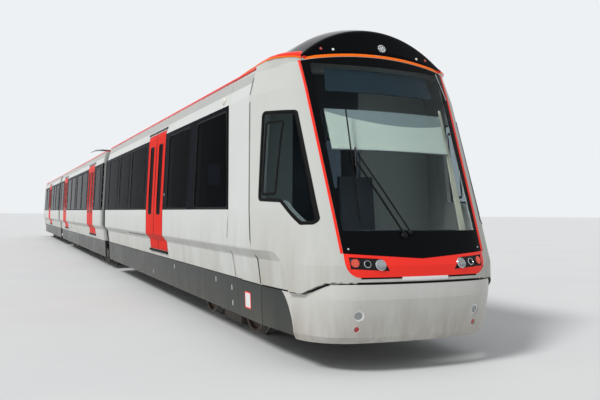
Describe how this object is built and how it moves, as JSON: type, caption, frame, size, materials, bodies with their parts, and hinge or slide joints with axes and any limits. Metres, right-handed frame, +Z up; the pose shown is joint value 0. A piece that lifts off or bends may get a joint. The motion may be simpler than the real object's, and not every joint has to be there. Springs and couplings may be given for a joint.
{
  "type": "half-scale articulated tram-train",
  "caption": "Articulated electric tram-train at half scale: two driving sections and a centre section on bogies, with red double doors and a roof pantograph.",
  "frame": {"origin": "middle of the vehicle, on the plane through the bottoms of the wheel flanges", "axes": "+X along the vehicle towards the end in the picture, +Y to its left, +Z up"},
  "size_m": [20.0348, 1.325, 1.8735],
  "materials": {
    "body_paint": "gloss light grey",
    "window_glass": "tinted",
    "door_paint": "gloss red",
    "front_glass": "clear with a black border",
    "lamp_panel_paint": "gloss red",
    "lamp_lens": "clear, red and amber lenses",
    "hood_gloss": "gloss black",
    "skirt_paint": "gloss dark grey",
    "underframe_paint": "satin black",
    "interior_trim": "matt grey",
    "roof_case_paint": "satin grey",
    "bellows_rubber": "matt black",
    "bogie_paint": "satin dark grey",
    "wheel_steel": "machined tread",
    "panto_metal": "satin dark red"
  },
  "bodies": {
    "centre_section": {"body_b": "body_paint", "windows_b": "window_glass", "doors_b": "door_paint", "skirts_b": "skirt_paint", "underframe_b": "underframe_paint", "interior_b": "interior_trim", "roof_gear_b": "roof_case_paint", "bellows_a": "bellows_rubber", "bellows_c": "bellows_rubber", "panto_base": "panto_metal"},
    "section_a": {"body_a": "body_paint", "windows_a": "window_glass", "doors_a": "door_paint", "cab_a": "body_paint", "windscreen_a": "front_glass", "lamp_panel_a": "lamp_panel_paint", "lamps_a": "lamp_lens", "bumper_a": "body_paint", "hood_a": "hood_gloss", "skirts_a": "skirt_paint", "underframe_a": "underframe_paint", "interior_a": "interior_trim", "roof_gear_a": "roof_case_paint"},
    "section_c": {"body_c": "body_paint", "windows_c": "window_glass", "doors_c": "door_paint", "cab_c": "body_paint", "windscreen_c": "front_glass", "lamp_panel_c": "lamp_panel_paint", "lamps_c": "lamp_lens", "bumper_c": "body_paint", "hood_c": "hood_gloss", "skirts_c": "skirt_paint", "underframe_c": "underframe_paint", "interior_c": "interior_trim", "roof_gear_c": "roof_case_paint"},
    "bogie_a": {"bogie_a": "bogie_paint"},
    "wheelset_a_1": {"wheelset_a_1": "wheel_steel"},
    "wheelset_a_2": {"wheelset_a_2": "wheel_steel"},
    "bogie_b1": {"bogie_b1": "bogie_paint"},
    "wheelset_b1_1": {"wheelset_b1_1": "wheel_steel"},
    "wheelset_b1_2": {"wheelset_b1_2": "wheel_steel"},
    "bogie_b2": {"bogie_b2": "bogie_paint"},
    "wheelset_b2_1": {"wheelset_b2_1": "wheel_steel"},
    "wheelset_b2_2": {"wheelset_b2_2": "wheel_steel"},
    "bogie_c": {"bogie_c": "bogie_paint"},
    "wheelset_c_1": {"wheelset_c_1": "wheel_steel"},
    "wheelset_c_2": {"wheelset_c_2": "wheel_steel"},
    "panto_lower": {"panto_lower": "panto_metal"},
    "panto_upper": {"panto_upper": "panto_metal"},
    "panto_head": {"panto_head": "panto_metal"},
    "panto_rod": {"panto_rod": "panto_metal"}
  },
  "joints": [
    {"name": "section_a_yaw", "type": "hinge", "parent": "centre_section", "child": "section_a", "pos_m": [3.557, 0, 0.315], "axis": [0, 0, 1], "range_deg": [-25, 25], "deforming": ["bellows_a"]},
    {"name": "section_c_yaw", "type": "hinge", "parent": "centre_section", "child": "section_c", "pos_m": [-3.557, 0, 0.315], "axis": [0, 0, 1], "range_deg": [-25, 25], "deforming": ["bellows_c"]},
    {"name": "bogie_a_yaw", "type": "hinge", "parent": "section_a", "child": "bogie_a", "pos_m": [8.2225, 0, 0.36], "axis": [0, 0, 1], "range_deg": [-11, 11]},
    {"name": "wheelset_a_1_spin", "type": "hinge", "parent": "bogie_a", "child": "wheelset_a_1", "pos_m": [8.6975, 0, 0.1935], "axis": [0, 1, 0], "continuous": true},
    {"name": "wheelset_a_2_spin", "type": "hinge", "parent": "bogie_a", "child": "wheelset_a_2", "pos_m": [7.7475, 0, 0.1935], "axis": [0, 1, 0], "continuous": true},
    {"name": "bogie_b1_yaw", "type": "hinge", "parent": "centre_section", "child": "bogie_b1", "pos_m": [2.25, 0, 0.36], "axis": [0, 0, 1], "range_deg": [-11, 11]},
    {"name": "wheelset_b1_1_spin", "type": "hinge", "parent": "bogie_b1", "child": "wheelset_b1_1", "pos_m": [2.725, 0, 0.1935], "axis": [0, 1, 0], "continuous": true},
    {"name": "wheelset_b1_2_spin", "type": "hinge", "parent": "bogie_b1", "child": "wheelset_b1_2", "pos_m": [1.775, 0, 0.1935], "axis": [0, 1, 0], "continuous": true},
    {"name": "bogie_b2_yaw", "type": "hinge", "parent": "centre_section", "child": "bogie_b2", "pos_m": [-2.25, 0, 0.36], "axis": [0, 0, 1], "range_deg": [-11, 11]},
    {"name": "wheelset_b2_1_spin", "type": "hinge", "parent": "bogie_b2", "child": "wheelset_b2_1", "pos_m": [-1.775, 0, 0.1935], "axis": [0, 1, 0], "continuous": true},
    {"name": "wheelset_b2_2_spin", "type": "hinge", "parent": "bogie_b2", "child": "wheelset_b2_2", "pos_m": [-2.725, 0, 0.1935], "axis": [0, 1, 0], "continuous": true},
    {"name": "bogie_c_yaw", "type": "hinge", "parent": "section_c", "child": "bogie_c", "pos_m": [-8.2225, 0, 0.36], "axis": [0, 0, 1], "range_deg": [-11, 11]},
    {"name": "wheelset_c_1_spin", "type": "hinge", "parent": "bogie_c", "child": "wheelset_c_1", "pos_m": [-7.7475, 0, 0.1935], "axis": [0, 1, 0], "continuous": true},
    {"name": "wheelset_c_2_spin", "type": "hinge", "parent": "bogie_c", "child": "wheelset_c_2", "pos_m": [-8.6975, 0, 0.1935], "axis": [0, 1, 0], "continuous": true},
    {"name": "panto_raise", "type": "hinge", "parent": "centre_section", "child": "panto_lower", "pos_m": [0.64, 0, 1.768], "axis": [0, 1, 0], "range_deg": [0, 50]},
    {"name": "panto_knee", "type": "hinge", "parent": "panto_lower", "child": "panto_upper", "pos_m": [-0.2096, 0, 1.794], "axis": [0, 1, 0], "range_deg": [-100, 0]},
    {"name": "panto_level", "type": "hinge", "parent": "panto_upper", "child": "panto_head", "pos_m": [0.64, 0, 1.82], "axis": [0, 1, 0], "range_deg": [0, 50]},
    {"name": "panto_thrust", "type": "hinge", "parent": "centre_section", "child": "panto_rod", "pos_m": [0.47, 0.036, 1.703], "axis": [0, 1, 0], "range_deg": [0, 54.92]}
  ],
  "couplings": [
    {"joint": "panto_knee", "follows": "panto_raise", "ratio": -2},
    {"joint": "panto_level", "follows": "panto_raise", "ratio": 1},
    {"joint": "panto_thrust", "follows": "panto_raise", "ratio": 1.0984}
  ]
}
